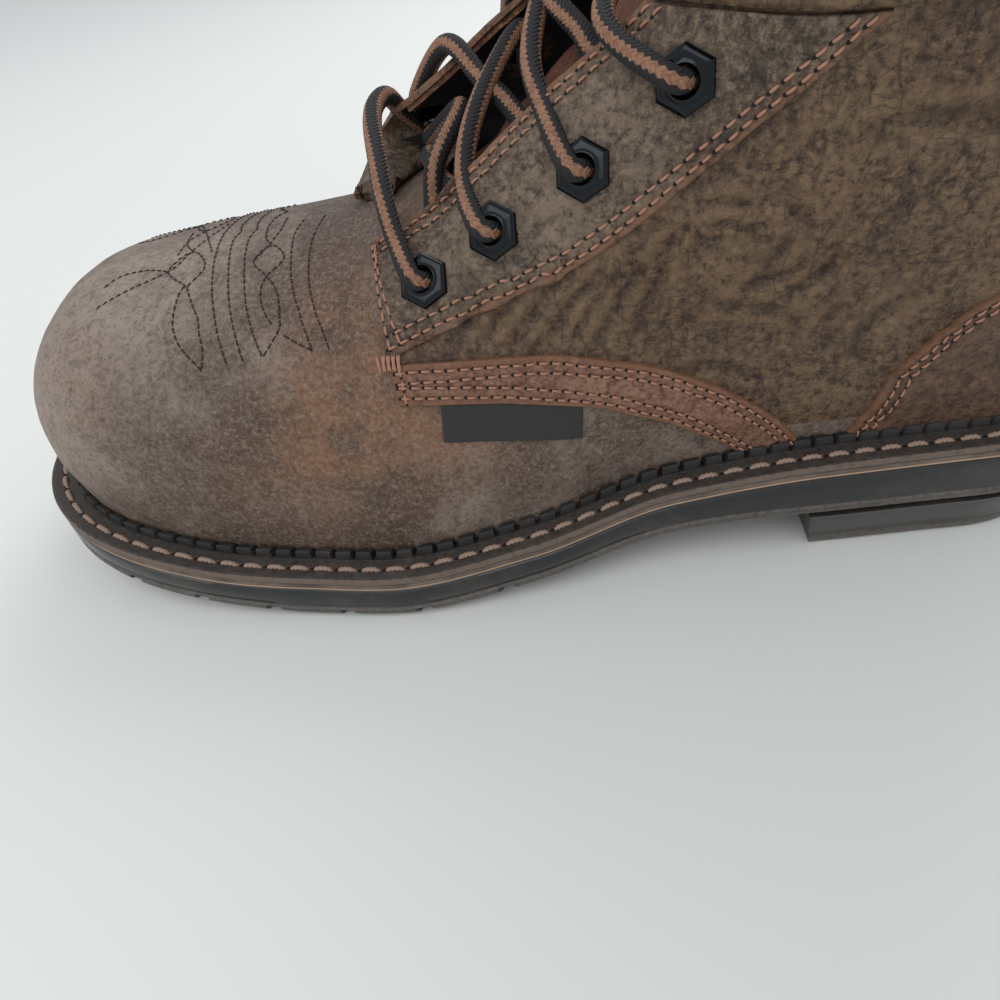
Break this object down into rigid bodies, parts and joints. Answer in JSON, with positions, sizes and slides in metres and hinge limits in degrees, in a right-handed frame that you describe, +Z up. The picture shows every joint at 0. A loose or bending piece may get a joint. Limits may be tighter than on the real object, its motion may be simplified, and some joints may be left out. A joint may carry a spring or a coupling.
{
  "type": "western work boot",
  "caption": "Left lace-up western work boot: broad lasted leather upper with open collar, ribbed storm welt, rubber sole and low heel.",
  "frame": {"origin": "middle of the footprint's box, on the floor", "axes": "+X from heel to toe, +Y to the outer side of the foot (the wearer's left), +Z up"},
  "size_m": [0.312, 0.1126, 0.2055],
  "materials": {
    "vamp_leather": "oiled nubuck",
    "quarter_leather": "oiled grain, creased",
    "strap_leather": "reddish, worn",
    "tongue_leather": "soft, matt",
    "black_rubber": "satin",
    "midsole_rubber": "dusty",
    "insole_foam": "matt",
    "eyelet_metal": "gloss black",
    "lace_cord": "braided",
    "tag_cloth": "woven, plain"
  },
  "bodies": {
    "root": {"outsole": "black_rubber", "heel": "black_rubber", "midsole": "midsole_rubber", "welt": "black_rubber", "insole": "insole_foam", "upper": "vamp_leather", "tongue": "tongue_leather", "eyestay_outer": "quarter_leather", "eyestay_inner": "quarter_leather", "strap_outer": "strap_leather", "strap_inner": "strap_leather", "cuff": "quarter_leather", "heel_counter": "quarter_leather", "side_tag": "tag_cloth", "lace_bar": "lace_cord", "lace_crossing_1": "lace_cord", "lace_crossing_2": "lace_cord", "lace_crossing_3": "lace_cord", "lace_crossing_4": "lace_cord", "lace_crossing_5": "lace_cord", "eyelet_outer_1": "eyelet_metal", "eyelet_outer_2": "eyelet_metal", "eyelet_outer_3": "eyelet_metal", "eyelet_outer_4": "eyelet_metal", "eyelet_outer_5": "eyelet_metal", "eyelet_outer_6": "eyelet_metal", "eyelet_inner_1": "eyelet_metal", "eyelet_inner_2": "eyelet_metal", "eyelet_inner_3": "eyelet_metal", "eyelet_inner_4": "eyelet_metal", "eyelet_inner_5": "eyelet_metal", "eyelet_inner_6": "eyelet_metal"}
  },
  "joints": []
}
